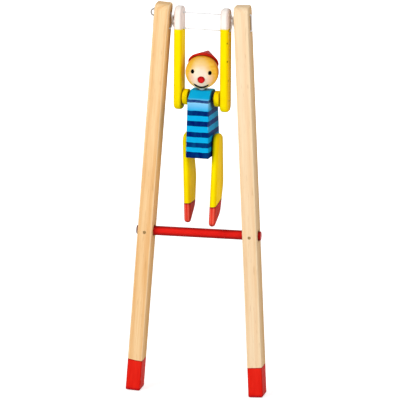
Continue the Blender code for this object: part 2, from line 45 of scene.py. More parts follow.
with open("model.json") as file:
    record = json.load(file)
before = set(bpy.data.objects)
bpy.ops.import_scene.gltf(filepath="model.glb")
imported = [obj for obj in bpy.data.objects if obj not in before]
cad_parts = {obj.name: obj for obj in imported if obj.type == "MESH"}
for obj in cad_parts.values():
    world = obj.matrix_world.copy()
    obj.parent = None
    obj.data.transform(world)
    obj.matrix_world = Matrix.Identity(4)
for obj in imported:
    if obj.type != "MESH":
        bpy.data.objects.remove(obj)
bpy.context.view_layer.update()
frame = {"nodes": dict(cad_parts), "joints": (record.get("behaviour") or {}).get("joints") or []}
NODES = frame["nodes"]
JOINTS = {joint["name"]: joint for joint in frame["joints"]}

# How the pieces stand on their joints
LEFT_LEAN = math.radians(4.02)
RIGHT_LEAN = math.radians(-2.72)
FIGURE_TURN = math.radians(-5.0)
LEFT_LEG_SWING = math.radians(9.5)
RIGHT_LEG_SWING = math.radians(-4.2)
HEAD_OFFSET = Vector((0, -1.5, 18.0)) * MM


def joint_place(name, turn=0.0, axis="Z"):
    """The frame that stands on a joint, turned about one of its axes."""
    return Matrix.Translation(JOINTS[name]["pos_m"]) @ Matrix.Rotation(turn, 4, axis)


LEFT_UPRIGHT = joint_place("left_upright_pivot", LEFT_LEAN, "Y")
RIGHT_UPRIGHT = joint_place("right_upright_pivot", RIGHT_LEAN, "Y")
TRAPEZE = joint_place("trapeze_spin", FIGURE_TURN)
SHOULDER = joint_place("shoulder_swing", FIGURE_TURN)
LEFT_LEG = joint_place("left_hip_swing", FIGURE_TURN) @ Matrix.Rotation(LEFT_LEG_SWING, 4, "X")
RIGHT_LEG = joint_place("right_hip_swing", FIGURE_TURN) @ Matrix.Rotation(RIGHT_LEG_SWING, 4, "X")
HEAD = SHOULDER @ Matrix.Translation(HEAD_OFFSET)
CROSSBAR_CENTRE = (LEFT_UPRIGHT.translation + RIGHT_UPRIGHT.translation) / 2
CROSSBAR = Matrix.Translation(CROSSBAR_CENTRE)

# Painted areas, measured along each piece from its joint or its middle
UPRIGHT_FRONT = -7.5 * MM
LEFT_FOOT_PAINT = (-89.5 * MM, -0.078, 0.02)
RIGHT_FOOT_PAINT = (-90.2 * MM, 0.025, 0.0)
FOOT_BOTTOM = -111.0 * MM
BAR_END_START = 40.6 * MM
BAR_END_DARK = 41.8 * MM
LEFT_HAND_BOTTOM = -5.65 * MM
RIGHT_HAND_BOTTOM = -3.75 * MM
BAND_EDGES_MM = ((-40, -35.0), (-31.8, -28.4), (-24.75, -21.3), (-17.3, -13.75), (-10.15, -6.8), (-1.3, 0.6))
BAND_STRENGTHS = (1.0, 0.95, 1.0, 1.0, 1.0, 0.92)
LEG_FRONT = -9.7 * MM
TOE_CORNER = Vector((0, -10.9, -56.8)) * MM
HEEL_CORNER = Vector((0, 5.0, -47.0)) * MM
TOE_BOTTOM = -54.7 * MM
SOLE_NORMAL = (HEEL_CORNER - TOE_CORNER).cross(Vector((1, 0, 0))).normalized()
SHOE_LIP = 1.5 * MM
LEFT_SHOE = (-40.3 * MM, -0.17)
RIGHT_SHOE = (-41.3 * MM, 0.28)
ARM_MARKS_MM = ((-5.0, -13.1), (-4.5, -25.6), (-3.0, -38.9), (-0.5, -53.0))

# Head, cap, nose and face
HEAD_RADIUS = 11.25 * MM
HEAD_SEGMENTS = 64
CAP_TILT = math.radians(48.0)
CAP_TURN = math.radians(8.5)
CAP_RIM_RADIUS = 10.3 * MM
CAP_RIM_OFFSET = 7.25 * MM
CAP_RIM_THICKNESS = 0.9 * MM
CAP_RIM_TOP = CAP_RIM_OFFSET + CAP_RIM_THICKNESS
CAP_HEIGHT = 10.65 * MM
CAP_TIP = CAP_RIM_OFFSET + CAP_HEIGHT
CAP_TIP_ROUND = 1.0 * MM
CAP_TIP_SHIFT = 2.2 * MM
CAP_GAP = 0.3 * MM
CAP = HEAD @ Matrix.Rotation(CAP_TURN, 4, "Z") @ Matrix.Rotation(-CAP_TILT, 4, "X")
NOSE_RADIUS = 2.5 * MM
NOSE_SUNK = 2.97 * MM
FACE_TURN = math.radians(13.0)
FACE_ROLL = math.radians(4.0)
FACE_DROP = math.radians(16.7)
NOSE_AXIS = Matrix.Rotation(FACE_TURN, 3, "Z") @ Vector((0, -math.cos(FACE_DROP), -math.sin(FACE_DROP)))
NOSE_CENTRE = NOSE_AXIS * (HEAD_RADIUS + NOSE_RADIUS - NOSE_SUNK)
EYE_MIDDLE = math.radians(-1.2)
EYE_SIDE = math.radians(32.0)
EYE_RISE = math.radians(8.8)
EYE_WIDTH = 2.8 * MM
EYE_HEIGHT = 3.0 * MM
MOUTH_CENTRE = math.radians(2.6)
MOUTH_SIDE = math.radians(35.0)
MOUTH_END = math.radians(-37.5)
MOUTH_LOW = math.radians(-57.0)
MOUTH_WIDTH = 3.5 * MM
MOUTH_END_WIDTH = 2.0 * MM
FACE_PALE_SIDE = math.radians(-2.0)
FACE_PALE_RISE = math.radians(-12.0)
FACE_HALF_WIDTH = 0.76
FACE_HALF_HEIGHT = 1.02
CHEEK_SIDE = math.radians(36.0)
CHEEK_RISE = math.radians(-15.0)
PAINT_RELIEF = 0.08 * MM

# String: the places of its holes are those of the CAD model
STRING_RADIUS = 0.6 * MM
STRING_PITCH = 3.0 * MM
STRING_SIDES = 15
STRING_STRANDS = 3
STRAND_GROOVE = 0.24
STRING_STEP = 0.28 * MM
STRING_GAP = 0.3 * MM
STRING_TUCK = 1.2 * MM
HOLE_SPACING = 10.9 * MM
UPPER_HOLE = 151.39 * MM
LOWER_HOLE = UPPER_HOLE - HOLE_SPACING
TRAPEZE_REACH = (UPPER_HOLE + LOWER_HOLE) / 2
CROSSING_OFFSET = 1.35 * MM
UPRIGHT_HALF = 5.0 * MM
HAND_MIDDLE = 16.15 * MM
HAND_FACE = 18.95 * MM
STANDOFF = STRING_RADIUS + STRING_GAP
ROUTE_STEPS = 8
COLLAR_TURN = 0.5
COLLAR_STEPS = 16
EAR_ANGLE = math.radians(125)
EAR_REACH = 3.3 * MM
EAR_HALF_HEIGHT = 2.3 * MM
EAR_DROP = 0.9 * MM

# Camera: the photograph's angle, with a long lens
IMAGE_SIZE = 400
PIXELS_PER_METRE = 1480
CAMERA_TURN = math.radians(11.5)
CAMERA_RISE = math.radians(13.0)
CAMERA_ROLL = math.radians(0.4)
CAMERA_DISTANCE = 4.0
CROSSBAR_PIXEL = (198.9, 232.75)
SENSOR_WIDTH = 36.0

# Light: each lamp's name, place, size in metres and power in watts, strongest from the front left
LAMPS = (
    ("key", (-0.75, -1.0, 0.85), 0.7, 11.6),
    ("fill", (1.1, -0.75, 0.5), 0.9, 7.2),
    ("back", (0.3, 1.2, 0.9), 0.9, 4.0),
)
LAMP_TARGET = Vector((0, 0, 0.14))
AMBIENT = 0.31

# Floor: it shows white far from the toy, and keeps some of its own shade within a shorter distance
FLOOR_HALF = 3.0
FLOOR_DROP = 0.1 * MM
FLOOR_GLOW = 0.6
GLOW_NEAR = 0.4
GLOW_FAR = 1.2


def srgb(red, green, blue):
    """A colour as a screen shows it, turned into the linear colour that shaders use."""
    linear = []
    for level in (red, green, blue):
        share = level / 255
        linear.append(share / 12.92 if share <= 0.04045 else ((share + 0.055) / 1.055) ** 2.4)
    return (*linear, 1.0)


# Colours of the paints, woods and cords. The edge, side, shade and corner colours and the knot's darker cord
# colour are painted shade; the pale highlight blue is a painted highlight.
YELLOW = srgb(252, 232, 4)
YELLOW_DEEP = srgb(248, 210, 4)
YELLOW_SIDE = srgb(255, 206, 4)
YELLOW_EDGE = srgb(222, 158, 8)
YELLOW_CORNER_SHADE = srgb(116, 74, 8)
YELLOW_SHADE = srgb(206, 146, 8)
RED = srgb(230, 34, 26)
RED_DEEP = srgb(212, 20, 16)
RED_EDGE = srgb(150, 8, 10)
RED_SHADE = srgb(70, 6, 8)
LIGHT_BLUE = srgb(14, 176, 230)
DEEP_BLUE = srgb(10, 160, 220)
HIGHLIGHT_BLUE = srgb(140, 206, 246)
NAVY = srgb(1, 22, 100)
BLUE_SHADE = srgb(4, 12, 34)
NECK_WHITE = srgb(240, 246, 250)
NECK_SHADE = srgb(176, 214, 232)
LEFT_WOOD = (srgb(252, 218, 168), srgb(236, 182, 120))
RIGHT_WOOD = (srgb(251, 226, 190), srgb(242, 204, 158))
CORD_SOIL = srgb(222, 219, 216)
KNOT_SHADE = srgb(140, 128, 112)

# Finishes: how weakly paint and wood mirror, how deep brush marks are, where each bar's pith would be
PAINT_SPECULAR = 0.004
BAR_SPECULAR = 0.03
PAINT_BUMP = 0.02 * MM
LEFT_PITH = Vector((-26, 48, 0)) * MM
RIGHT_PITH = Vector((34, 60, 0)) * MM


class Finish:
    """A Principled material, with short ways to add nodes to it."""

    def __init__(self, name, specular, metallic=0.0):
        self.material = bpy.data.materials.new(name)
        self.material.use_nodes = True
        self.tree = self.material.node_tree
        self.shader = self.tree.nodes["Principled BSDF"]
        self.shader.inputs["Metallic"].default_value = metallic
        self.shader.inputs["Specular IOR Level"].default_value = specular
        self.coordinates = self.tree.nodes.new("ShaderNodeTexCoord")

    def add(self, kind, inputs, **settings):
        """A new node with its settings made and its inputs set or linked."""
        node = self.tree.nodes.new("ShaderNode" + kind)
        for setting, value in settings.items():
            setattr(node, setting, value)
        for socket, value in inputs.items():
            self.feed(node.inputs[socket], value)
        return node

    def feed(self, socket, value):
        """Links an output to a socket, or sets the socket to a value."""
        if isinstance(value, bpy.types.NodeSocket):
            self.tree.links.new(value, socket)
        else:
            socket.default_value = value

    def math(self, operation, first, second=0.0, third=0.0):
        """One step of arithmetic on numbers."""
        return self.add("Math", {0: first, 1: second, 2: third}, operation=operation).outputs[0]

    def vector(self, operation, first, second=(0, 0, 0), output=0):
        """One step of arithmetic on vectors."""
        return self.add("VectorMath", {0: first, 1: second}, operation=operation).outputs[output]

    def own_place(self, place):
        """Coordinates in the frame of one piece."""
        inputs = {
            "Vector": self.coordinates.outputs["Object"],
            "Location": place.translation,
            "Rotation": place.to_euler(),
        }
        return self.add("Mapping", inputs, vector_type="TEXTURE").outputs[0]

    def parts(self, vector):
        """The three numbers of a vector."""
        return self.add("SeparateXYZ", {0: vector}).outputs

    def noise(self, vector, scales, detail=2.0, roughness=0.5):
        """Soft noise from 0 to 1 with so many features to the metre along each axis."""
        stretched = self.vector("MULTIPLY", vector, scales)
        inputs = {"Vector": stretched, "Scale": 1.0, "Detail": detail, "Roughness": roughness}
        return self.add("TexNoise", inputs).outputs[0]

    def ramp(self, value, low, high, start=0.0, end=1.0):
        """A number that goes from start to end as the value goes from low to high."""
        inputs = {"Value": value, "From Min": low, "From Max": high, "To Min": start, "To Max": end}
        return self.add("MapRange", inputs).outputs[0]

    def wobble(self, vector, scales, reach):
        """A slow drift of an edge, by up to so many metres either way."""
        return self.ramp(self.noise(vector, scales, 1.0), 0.0, 1.0, -reach, reach)

    def mix(self, share, first, second):
        """The second colour over the first."""
        node = self.add("Mix", {0: share, 6: first, 7: second}, data_type="RGBA")
        return node.outputs[2]

    def facing(self, axis):
        """1 on faces square to an axis, 0 on faces along it."""
        along = self.vector("DOT_PRODUCT", self.coordinates.outputs["Normal"], axis, "Value")
        return self.math("MULTIPLY", along, along)

    def edges(self, facing):
        """1 on the rounded edges between the faces that facing tells apart."""
        rest = self.math("SUBTRACT", 1.0, facing)
        return self.math("MULTIPLY", self.math("MULTIPLY", facing, rest), 4.0)

    def near(self, vector, point, inner, outer, strength):
        """The strength within one distance of a point, fading to 0 at another."""
        distance = self.vector("LENGTH", self.vector("SUBTRACT", vector, point), output="Value")
        return self.ramp(distance, inner, outer, strength, 0.0)

    def corner_shaded(self, colour, shade_colour, reach, strength):
        """Painted shade in the corners where pieces meet."""
        shade = self.add("AmbientOcclusion", {"Distance": reach}, samples=8)
        return self.mix(self.ramp(shade.outputs["AO"], 0.3, 0.95, strength, 0.0), colour, shade_colour)

    def done(self, colour, roughness, height, depth):
        """Feeds the shader its colour, its roughness and a bump of so many metres."""
        bump = self.add("Bump", {"Height": height, "Distance": depth, "Strength": 1.0})
        self.feed(self.shader.inputs["Base Color"], colour)
        self.feed(self.shader.inputs["Roughness"], roughness)
        self.feed(self.shader.inputs["Normal"], bump.outputs[0])
        return self.material


def axis_of(place, index=0):
    """One axis of a piece's frame."""
    return place.to_3x3().col[index].normalized()


def painted_layer(finish, below, colour, lip_colour, inside, lip_width=0.9 * MM):
    """A second coat where inside, in metres past its edge, is above 0. Its edge dries darker."""
    cover = finish.ramp(inside, -0.04 * MM, 0.04 * MM)
    lip = finish.ramp(inside, 0.1 * MM, lip_width, 0.8, 0.0)
    coat = finish.mix(lip, colour, lip_colour)
    return finish.mix(cover, below, coat), cover


def wood_finish(name, place, tones, pith, foot_paint):
    """Pale lacquered wood with straight grain, its foot dipped in red paint."""
    finish = Finish(name, PAINT_SPECULAR)
    local = finish.own_place(place)
    drift = finish.noise(local, (40, 40, 7), 2.0)
    outward = finish.vector("MULTIPLY", finish.vector("SUBTRACT", local, pith), (1, 1, 0.02))
    radius = finish.vector("LENGTH", outward, output="Value")
    bent = finish.math("MULTIPLY_ADD", drift, 3.2 * MM, radius)
    wave = finish.math("SINE", finish.math("MULTIPLY", bent, FULL_TURN / (2.9 * MM)))
    rings = finish.ramp(wave, -0.1, 1.0)
    fibres = finish.noise(local, (1500, 1500, 40), 3.0, 0.6)
    flecks = finish.ramp(finish.noise(local, (900, 900, 110), 1.0), 0.66, 0.74)
    patches = finish.noise(local, (60, 60, 9), 2.0)
    tone = finish.math("MULTIPLY_ADD", rings, 0.4, finish.ramp(fibres, 0.3, 0.7, 0.0, 0.5))
    tone = finish.math("MULTIPLY_ADD", finish.ramp(patches, 0.35, 0.65), 0.3, tone)
    wood = finish.mix(tone, *tones)
    wood = finish.mix(finish.math("MULTIPLY", flecks, 0.22), wood, srgb(196, 140, 86))
    side = finish.facing(axis_of(place))
    edges = finish.edges(side)
    # Painted highlight: the rounded edges are made paler.
    wood = finish.mix(finish.math("MULTIPLY", edges, 0.55), wood, srgb(255, 232, 192))
    flat_side = finish.ramp(side, 0.7, 0.95)
    across, depth, height = finish.parts(local)
    # Painted shade: the flat sides darken towards the back.
    back_side_shade = finish.math("MULTIPLY", flat_side, finish.ramp(depth, -5.0 * MM, 6.0 * MM, 0.25, 0.7))
    wood = finish.mix(back_side_shade, wood, srgb(190, 142, 76))
    # Painted shade in the corners where pieces meet.
    wood = finish.corner_shaded(wood, srgb(120, 72, 36), 2.5 * MM, 0.75)

    foot_top, slope_across, slope_back = foot_paint
    top = finish.math("MULTIPLY_ADD", across, slope_across, foot_top)
    top = finish.math("MULTIPLY_ADD", finish.math("SUBTRACT", depth, UPRIGHT_FRONT), slope_back, top)
    wobble = finish.wobble(local, (160, 160, 160), 0.45 * MM)
    inside = finish.math("SUBTRACT", finish.math("ADD", top, wobble), height)
    streaks = finish.noise(local, (500, 500, 60), 2.0)
    red = finish.mix(finish.ramp(streaks, 0.3, 0.75), srgb(224, 26, 18), srgb(236, 44, 30))
    # Painted shade on the red foot: darker on the flat sides, on the rounded edges and towards the bottom.
    red = finish.mix(finish.math("MULTIPLY", flat_side, 0.5), red, srgb(176, 40, 28))
    red = finish.mix(finish.math("MULTIPLY", edges, 0.3), red, srgb(160, 12, 12))
    ground = finish.ramp(height, FOOT_BOTTOM + 2.4 * MM, FOOT_BOTTOM + 0.6 * MM, 0.0, 0.75)
    red = finish.mix(ground, red, srgb(150, 6, 26))
    colour, cover = painted_layer(finish, wood, red, srgb(120, 14, 10), inside)
    gloss = finish.ramp(fibres, 0.3, 0.7, 0.46, 0.6)
    roughness = finish.math("MULTIPLY_ADD", cover, -0.2, gloss)
    relief = finish.math("MULTIPLY_ADD", flecks, -0.5, finish.math("MULTIPLY_ADD", rings, 0.3, fibres))
    relief = finish.math("MULTIPLY_ADD", cover, 1.2, relief)
    return finish.done(colour, roughness, relief, 0.03 * MM)


def paint_base(name, place, colour, deep, side_shade=None, specular=PAINT_SPECULAR):
    """Gloss paint on wood: brushed streaks, a deeper tone in places, and painted shade on the sides where a
    side colour is given.
    """
    finish = Finish(name, specular)
    local = finish.own_place(place)
    patches = finish.noise(local, (90, 90, 60), 2.0)
    streaks = finish.noise(local, (420, 420, 28), 3.0, 0.6)
    streaked = finish.ramp(streaks, 0.3, 0.7, 0.25, 0.6)
    tone = finish.math("MULTIPLY", finish.ramp(patches, 0.35, 0.7), streaked)
    paint = finish.mix(tone, colour, deep)
    facing = finish.facing(axis_of(place))
    # Painted shade: the sides turn to the side colour.
    if side_shade:
        paint = finish.mix(finish.math("MULTIPLY", facing, 0.5), paint, side_shade)
    peel = finish.noise(local, (1100, 1100, 900), 1.0)
    relief = finish.math("MULTIPLY_ADD", streaks, 0.8, finish.math("MULTIPLY", peel, 0.4))
    gloss = finish.ramp(patches, 0.3, 0.7, 0.24, 0.34)
    return finish, local, paint, facing, relief, gloss


def plain_paint(name, place, colour, deep, edge_shade, shade_colour, specular=PAINT_SPECULAR, shade_axis=None):
    """One coat of gloss paint with painted shade on its rounded edges and in its corners, and, where an axis
    is given, painted shade above, below and at the ends.
    """
    finish, local, paint, facing, relief, gloss = paint_base(name, place, colour, deep, specular=specular)
    # Painted shade: the rounded edges are darkened.
    paint = finish.mix(finish.math("MULTIPLY", finish.edges(facing), 0.45), paint, edge_shade)
    # Painted shade on the top and the bottom round the given axis, and at both ends, strongest at the left
    # end.
    if shade_axis is not None:
        upwards = finish.vector("DOT_PRODUCT", finish.coordinates.outputs["Normal"], shade_axis, "Value")
        above = finish.ramp(upwards, 0.62, 0.95, 0.0, 0.6)
        below = finish.ramp(upwards, 0.0, -0.8, 0.0, 0.65)
        paint = finish.mix(finish.math("MAXIMUM", above, below), paint, shade_colour)
        across = finish.parts(local)[0]
        left_end = finish.ramp(across, -BAR_END_START, -BAR_END_DARK, 0.0, 0.85)
        right_end = finish.ramp(across, BAR_END_START, BAR_END_DARK, 0.0, 0.35)
        paint = finish.mix(finish.math("MAXIMUM", left_end, right_end), paint, shade_colour)
    # Painted shade in the corners where pieces meet.
    paint = finish.corner_shaded(paint, shade_colour, 2.0 * MM, 0.8)
    return finish.done(paint, gloss, relief, PAINT_BUMP)


def arm_finish(name, place, hand_bottom, marks):
    """Yellow paint with a pale hand and small dents in the outer face, with painted shade on its sides,
    edges, dents and corners.
    """
    finish, local, paint, facing, relief, gloss = paint_base(name, place, YELLOW, YELLOW_DEEP, YELLOW_SIDE)
    # Painted shade: the rounded edges are darkened, and the sides take the golden side colour.
    paint = finish.mix(finish.math("MULTIPLY", finish.edges(facing), 0.22), paint, YELLOW_EDGE)
    # Each dent is a dip in the bump, with painted shade darkening its colour.
    for across, along in marks:
        dent = finish.near(local, (HAND_FACE, across * MM, along * MM), 0.35 * MM, 0.95 * MM, 0.8)
        paint = finish.mix(dent, paint, srgb(96, 70, 8))
        relief = finish.math("MULTIPLY_ADD", dent, -6.0, relief)
    height = finish.parts(local)[2]
    wobble = finish.wobble(local, (200, 200, 200), 0.25 * MM)
    inside = finish.math("SUBTRACT", finish.math("ADD", height, wobble), hand_bottom)
    shade = finish.ramp(finish.noise(local, (120, 120, 50), 2.0), 0.35, 0.7)
    skin = finish.mix(shade, srgb(255, 250, 244), srgb(250, 238, 230))
    # Painted shade on the hand's sides and rounded edges.
    skin = finish.mix(finish.math("MULTIPLY", facing, 0.6), skin, srgb(238, 214, 204))
    skin = finish.mix(finish.math("MULTIPLY", finish.edges(facing), 0.4), skin, srgb(206, 176, 166))
    # Painted shade in the corners where pieces meet.
    paint = finish.corner_shaded(paint, YELLOW_CORNER_SHADE, 2.0 * MM, 0.75)
    paint, cover = painted_layer(finish, paint, skin, srgb(236, 214, 150), inside)
    relief = finish.math("MULTIPLY_ADD", cover, 2.0, relief)
    return finish.done(paint, gloss, relief, PAINT_BUMP)


def leg_finish(name, place, shoe_edge):
    """Yellow paint with a red shoe whose top edge slopes from front to back, with painted shade on the
    edges, corners and shoe, and a painted highlight on the shoe.
    """
    finish, local, paint, facing, relief, gloss = paint_base(name, place, YELLOW, YELLOW_DEEP, YELLOW_SIDE)
    edges = finish.edges(facing)
    # Painted shade: the rounded edges are darkened.
    paint = finish.mix(finish.math("MULTIPLY", edges, 0.2), paint, YELLOW_EDGE)
    # Painted shade in the corners where pieces meet.
    paint = finish.corner_shaded(paint, YELLOW_CORNER_SHADE, 2.0 * MM, 0.75)
    _, depth, height = finish.parts(local)
    shoe_top, slope = shoe_edge
    top = finish.math("MULTIPLY_ADD", finish.math("SUBTRACT", depth, LEG_FRONT), slope, shoe_top)
    wobble = finish.wobble(local, (200, 200, 200), 0.25 * MM)
    inside = finish.math("SUBTRACT", finish.math("ADD", top, wobble), height)
    streaks = finish.noise(local, (420, 420, 40), 2.0)
    shoe = finish.mix(finish.ramp(streaks, 0.3, 0.7), srgb(226, 46, 34), srgb(240, 84, 62))
    # Painted highlight: a paler streak on the shoe where its rounded edge turns.
    shoe_highlight = finish.math("MULTIPLY", finish.ramp(facing, 0.03, 0.12), finish.ramp(facing, 0.5, 0.25))
    shoe = finish.mix(finish.math("MULTIPLY", shoe_highlight, 0.4), shoe, srgb(255, 136, 112))
    # Painted shade on the shoe: darker along the sole, at the toe and on the flat sides.
    from_toe = finish.vector("SUBTRACT", local, TOE_CORNER)
    below_sole = finish.vector("DOT_PRODUCT", from_toe, SOLE_NORMAL, "Value")
    at_sole = finish.ramp(below_sole, -2.6 * MM, -0.2 * MM, 0.0, 0.75)
    at_toe = finish.ramp(height, TOE_BOTTOM + 2.6 * MM, TOE_BOTTOM, 0.0, 0.8)
    on_side = finish.ramp(facing, 0.4, 0.95, 0.0, 0.45)
    dark = finish.math("MAXIMUM", finish.math("MAXIMUM", at_sole, at_toe), on_side)
    shoe = finish.mix(dark, shoe, srgb(112, 10, 8))
    paint, cover = painted_layer(finish, paint, shoe, srgb(84, 18, 6), inside, SHOE_LIP)
    relief = finish.math("MULTIPLY_ADD", cover, 2.0, relief)
    return finish.done(paint, gloss, relief, PAINT_BUMP)


def torso_finish(place):
    """Light blue paint with dark bands printed round it, a painted highlight on and below the chest's ridge,
    painted shade on the sides, and rubbed pale on the lower edges.
    """
    finish, local, paint, facing, relief, gloss = paint_base("banded_blue", place, LIGHT_BLUE, DEEP_BLUE)
    _, _, height = finish.parts(local)
    # Painted highlight: paler blue below the chest's ridge and along it.
    chest_sheen = finish.math("MULTIPLY", finish.ramp(height, -1.5 * MM, -7.0 * MM, 0.95, 0.0),
                              finish.ramp(height, 0.2 * MM, 0.0))
    ridge = finish.ramp(height, 0.5 * MM, 1.6 * MM, 0.55, 0.0)
    ridge = finish.math("MULTIPLY", ridge, finish.ramp(height, 0.4 * MM, 0.6 * MM))
    pale = finish.math("MAXIMUM", chest_sheen, ridge)
    paint = finish.mix(pale, paint, HIGHLIGHT_BLUE)
    wobble = finish.wobble(local, (220, 220, 60), 0.35 * MM)
    level = finish.math("ADD", height, wobble)
    bands = 0.0
    for (low, high), strength in zip(BAND_EDGES_MM, BAND_STRENGTHS):
        middle = (low + high) / 2 * MM
        half = (high - low) / 2 * MM
        band = finish.math("COMPARE", level, middle, half)
        bands = finish.math("MULTIPLY_ADD", band, strength, bands)
    rubbed = finish.ramp(finish.noise(local, (260, 260, 90), 3.0, 0.6), 0.4, 0.75, 1.0, 0.88)
    paint = finish.mix(finish.math("MULTIPLY", bands, rubbed), paint, NAVY)
    edges = finish.edges(facing)
    scuffs = finish.ramp(finish.noise(local, (350, 350, 120), 3.0, 0.6), 0.52, 0.62)
    low_down = finish.ramp(height, -18 * MM, -30 * MM, 0.15, 0.75)
    worn = finish.math("MULTIPLY", finish.math("MULTIPLY", edges, scuffs), low_down)
    paint = finish.mix(worn, paint, srgb(206, 206, 204))
    # Painted shade: the sides are darker blue.
    paint = finish.mix(finish.math("MULTIPLY", facing, 0.3), paint, srgb(6, 70, 128))
    # Painted shadow of the shoulder discs round the shoulder pin on the sides.
    ring = finish.math("MULTIPLY", finish.near(local, (0, 0, 0), 9.6 * MM, 12.0 * MM, 0.85), facing)
    paint = finish.mix(ring, paint, BLUE_SHADE)
    # Painted shade in the corners where pieces meet.
    paint = finish.corner_shaded(paint, BLUE_SHADE, 2.2 * MM, 0.8)
    relief = finish.math("MULTIPLY_ADD", bands, 1.0, relief)
    return finish.done(paint, gloss, relief, PAINT_BUMP)


def head_finish(place, face_axis, face_side, cheeks):
    """A lacquered ball, pale round the face and golden towards its sides, with faintly rosy cheeks."""
    finish = Finish("face_lacquer", specular=0.02)
    local = finish.own_place(place)
    outward = finish.vector("NORMALIZE", local)
    ahead = finish.vector("DOT_PRODUCT", outward, face_axis, "Value")
    sideways = finish.vector("DOT_PRODUCT", outward, face_side, "Value")
    upwards = finish.vector("DOT_PRODUCT", outward, face_side.cross(-face_axis), "Value")
    blotch = finish.noise(local, (130, 130, 130), 2.0)
    grain = finish.noise(local, (90, 90, 1100), 3.0, 0.6)
    gold = finish.mix(finish.ramp(grain, 0.3, 0.7), srgb(250, 204, 84), srgb(244, 186, 52))
    # Painted shade: deeper amber as the ball turns away from the face.
    ball_side_shade = finish.ramp(ahead, -0.1, 0.4, 0.75, 0.0)
    gold = finish.mix(ball_side_shade, gold, srgb(228, 150, 14))
    cream = finish.mix(finish.ramp(blotch, 0.3, 0.7), srgb(252, 238, 212), srgb(250, 226, 202))
    oval = finish.add("CombineXYZ", {
        0: finish.math("DIVIDE", sideways, FACE_HALF_WIDTH),
        1: finish.math("DIVIDE", upwards, FACE_HALF_HEIGHT),
    })
    reach = finish.vector("LENGTH", oval.outputs[0], output="Value")
    reach = finish.math("MULTIPLY_ADD", finish.ramp(blotch, 0.2, 0.8, -1.0, 1.0), 0.08, reach)
    # The pale face is partly its own paint and partly a painted highlight.
    pale = finish.math("MULTIPLY", finish.ramp(reach, 0.5, 1.0, 1.0, 0.0), finish.ramp(ahead, 0.0, 0.2))
    colour = finish.mix(pale, gold, cream)
    for cheek in cheeks:
        blush = finish.near(outward, cheek, 0.05, 0.42, 0.6)
        colour = finish.mix(blush, colour, srgb(250, 200, 180))
    # Painted shade in the corners where pieces meet.
    colour = finish.corner_shaded(colour, srgb(150, 96, 40), 1.2 * MM, 0.5)
    gloss = finish.ramp(blotch, 0.3, 0.7, 0.28, 0.38)
    return finish.done(colour, gloss, grain, 0.008 * MM)


def nose_finish(place, axis):
    """Red gloss, with painted shade round the foot of the bead."""
    bright = srgb(226, 34, 36)
    deep = srgb(214, 22, 26)
    finish, local, paint, _, relief, gloss = paint_base("nose_red", place, bright, deep)
    ahead = finish.vector("DOT_PRODUCT", finish.vector("NORMALIZE", local), axis, "Value")
    # Painted shade round the bead's foot.
    foot = finish.ramp(ahead, 0.45, 0.85, 0.8, 0.0)
    paint = finish.mix(foot, paint, srgb(156, 6, 14))
    return finish.done(paint, gloss, relief, PAINT_BUMP)


def cap_finish():
    """Crimson gloss, with painted light making the rim brightest, and rubbed on the tip."""
    bright = srgb(196, 26, 18)
    deep = srgb(168, 14, 12)
    finish, local, paint, _, relief, gloss = paint_base("cap_crimson", CAP, bright, deep)
    height = finish.parts(local)[2]
    # Painted light: the rim is made brighter red.
    rim = finish.ramp(height, CAP_RIM_TOP - 0.4 * MM, CAP_RIM_TOP + 1.0 * MM, 0.7, 0.0)
    paint = finish.mix(rim, paint, srgb(204, 44, 24))
    scuffs = finish.ramp(finish.noise(local, (700, 700, 700), 2.0), 0.4, 0.6)
    tip = finish.math("MULTIPLY", finish.ramp(height, CAP_TIP - 1.4 * MM, CAP_TIP, 0.0, 0.8), scuffs)
    paint = finish.mix(tip, paint, srgb(132, 100, 86))
    # Painted shade in the corners where pieces meet.
    paint = finish.corner_shaded(paint, srgb(60, 4, 4), 1.0 * MM, 0.4)
    return finish.done(paint, gloss, relief, PAINT_BUMP)


def string_finish(name, soil_and_shade, soil_and_shade_colour):
    """White cotton cord with fine fibres, soiled in places; on the knot the darker patches are painted
    shade.
    """
    finish = Finish(name, specular=0.05)
    local = finish.coordinates.outputs["Object"]
    fibres = finish.noise(local, (2600, 2600, 2600), 3.0, 0.65)
    soil_and_shade_patches = finish.noise(local, (180, 180, 180), 2.0)
    colour = finish.mix(finish.ramp(fibres, 0.3, 0.7), srgb(248, 248, 250), srgb(255, 255, 255))
    colour = finish.mix(finish.ramp(soil_and_shade_patches, 0.45, 0.8, soil_and_shade / 2, soil_and_shade), colour, soil_and_shade_colour)
    rough = finish.ramp(fibres, 0.3, 0.7, 0.82, 0.95)
    return finish.done(colour, rough, fibres, 0.05 * MM)


def steel_finish():
    """Dull nail steel with brown tarnish."""
    finish = Finish("nail_steel", specular=0.3, metallic=0.3)
    local = finish.coordinates.outputs["Object"]
    rust = finish.ramp(finish.noise(local, (900, 900, 900), 3.0, 0.6), 0.3, 0.6)
    colour = finish.mix(rust, srgb(192, 164, 112), srgb(164, 130, 76))
    rough = finish.ramp(rust, 0.0, 1.0, 0.4, 0.7)
    return finish.done(colour, rough, rust, 0.02 * MM)


def black_finish():
    """Black paint of the eyes and the mouth."""
    finish = Finish("face_black", PAINT_SPECULAR)
    local = finish.coordinates.outputs["Object"]
    thin = finish.noise(local, (900, 900, 900), 2.0)
    colour = finish.mix(finish.ramp(thin, 0.35, 0.75), srgb(4, 4, 6), srgb(20, 17, 17))
    return finish.done(colour, finish.ramp(thin, 0.3, 0.7, 0.3, 0.4), thin, 0.01 * MM)


